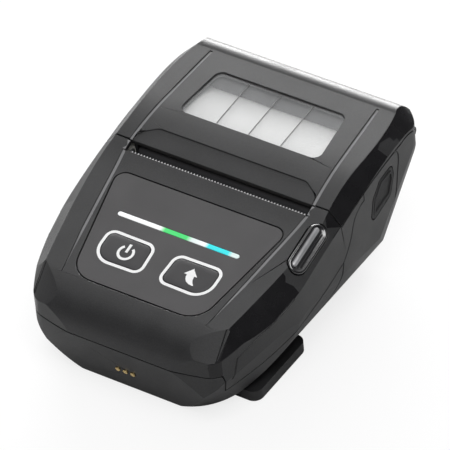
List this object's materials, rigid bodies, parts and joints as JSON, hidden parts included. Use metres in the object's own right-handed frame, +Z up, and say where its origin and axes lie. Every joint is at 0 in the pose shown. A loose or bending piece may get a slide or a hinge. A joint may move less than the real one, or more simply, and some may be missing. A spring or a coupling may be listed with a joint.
{
  "type": "portable receipt printer",
  "caption": "Belt-size receipt printer with a windowed lid over the paper roll, serrated tear bar, two-key panel and push lever.",
  "frame": {"origin": "centre of the footprint on the table, below the middle of the bounding box", "axes": "+X to the printer's right as seen by someone facing the control panel, +Y to the rear where the lid is hinged, +Z up"},
  "size_m": [0.0796, 0.1042, 0.0459],
  "materials": {
    "shell_plastic": "fine moulded texture",
    "panel_plastic": "smooth satin",
    "key_plastic": "satin, printed symbol",
    "light_guide": "lit from below",
    "steel": "plain bright",
    "dark_steel": "zinc finish",
    "lever_plastic": "polished",
    "window_plastic": "clear moulded plastic",
    "paper": "uncoated paper",
    "core_card": "card tube",
    "roller_rubber": "ground smooth",
    "bush_plastic": "self-lubricating",
    "gear_plastic": "moulded",
    "head_ceramic": "glazed ceramic",
    "heatsink_metal": "as extruded",
    "board": "solder mask",
    "chip_plastic": "moulded",
    "gilt": "gilt",
    "battery_plastic": "fine moulded texture",
    "flap_rubber": "matt",
    "foot_rubber": "matt"
  },
  "bodies": {
    "housing": {"lower_case": "shell_plastic", "upper_case": "shell_plastic", "hinge_pins": "steel", "control_panel": "panel_plastic", "status_light_bar": "light_guide", "main_board": "board", "key_switches": "chip_plastic", "status_leds": "light_guide", "board_chips": "chip_plastic", "board_screws": "steel", "tear_bar": "steel", "print_chassis": "dark_steel", "chassis_screws": "steel", "print_head": "head_ceramic", "head_heatsink": "heatsink_metal", "head_springs": "steel", "idler_pin": "steel", "drive_motor": "dark_steel", "latch_pins": "steel", "latch_spring": "steel", "paper_bin": "bush_plastic", "paper_sensor": "chip_plastic", "battery_terminals": "gilt", "case_screws": "steel", "usb_port": "steel", "port_board": "board", "charge_contacts": "gilt", "contact_block": "chip_plastic", "feet": "foot_rubber"},
    "cover": {"paper_cover": "shell_plastic", "cover_window": "window_plastic", "platen_bushes": "bush_plastic"},
    "platen": {"platen_roller": "roller_rubber", "platen_shaft": "steel", "platen_gear": "gear_plastic"},
    "idler": {"idler_gear": "gear_plastic"},
    "pinion": {"motor_pinion": "gear_plastic", "motor_shaft": "steel"},
    "lever": {"release_lever": "lever_plastic"},
    "latch": {"latch_bar": "steel"},
    "power_button": {"power_key": "key_plastic"},
    "feed_button": {"feed_key": "key_plastic"},
    "port_flap": {"port_cover": "flap_rubber"},
    "roll": {"paper_roll": "paper", "roll_core": "core_card"},
    "battery": {"battery_pack": "battery_plastic"},
    "battery_catch": {"battery_latch": "battery_plastic"}
  },
  "joints": [
    {"name": "cover_hinge", "type": "hinge", "parent": "housing", "child": "cover", "pos_m": [0, 0.0502, 0.0346], "axis": [-1, 0, 0], "range_deg": [0, 100]},
    {"name": "platen_spin", "type": "hinge", "parent": "cover", "child": "platen", "pos_m": [0, 0.0079, 0.0346], "axis": [1, 0, 0], "continuous": true},
    {"name": "idler_spin", "type": "hinge", "parent": "housing", "child": "idler", "pos_m": [-0.0342, 0.0079, 0.0251], "axis": [1, 0, 0], "continuous": true},
    {"name": "pinion_spin", "type": "hinge", "parent": "housing", "child": "pinion", "pos_m": [-0.0342, 0.00136, 0.01856], "axis": [1, 0, 0], "continuous": true},
    {"name": "lever_push", "type": "slide", "parent": "housing", "child": "lever", "axis": [-0.6206, 0.1902, -0.7607], "range_m": [0, 0.0015], "stiffness_N_per_m": 1200},
    {"name": "latch_swing", "type": "hinge", "parent": "housing", "child": "latch", "pos_m": [0, -0.0016, 0.022], "axis": [1, 0, 0], "range_deg": [0, 4.1], "stiffness_Nm_per_rad": 0.4, "deforming": ["latch_spring"]},
    {"name": "power_press", "type": "slide", "parent": "housing", "child": "power_button", "axis": [0, 0.2086, -0.978], "range_m": [0, 0.0006], "stiffness_N_per_m": 2500},
    {"name": "feed_press", "type": "slide", "parent": "housing", "child": "feed_button", "axis": [0, 0.2086, -0.978], "range_m": [0, 0.0006], "stiffness_N_per_m": 2500},
    {"name": "port_flap_hinge", "type": "hinge", "parent": "housing", "child": "port_flap", "pos_m": [0.0393, 0.0339, 0.0313], "axis": [0, 0, 1], "range_deg": [0, 100], "stiffness_Nm_per_rad": 0.001},
    {"name": "roll_spin", "type": "hinge", "parent": "housing", "child": "roll", "pos_m": [0, 0.0276, 0.0244], "axis": [1, 0, 0], "continuous": true},
    {"name": "battery_slide", "type": "slide", "parent": "housing", "child": "battery", "axis": [0, 0, -1], "range_m": [0, 0.018]},
    {"name": "battery_catch_slide", "type": "slide", "parent": "housing", "child": "battery_catch", "axis": [0, 1, 0], "range_m": [0, 0.002], "stiffness_N_per_m": 600}
  ],
  "couplings": [
    {"joint": "idler_spin", "follows": "platen_spin", "ratio": -0.40741},
    {"joint": "pinion_spin", "follows": "platen_spin", "ratio": 1.1},
    {"joint": "latch_swing", "follows": "lever_push", "rad_per_m": 46.5}
  ]
}
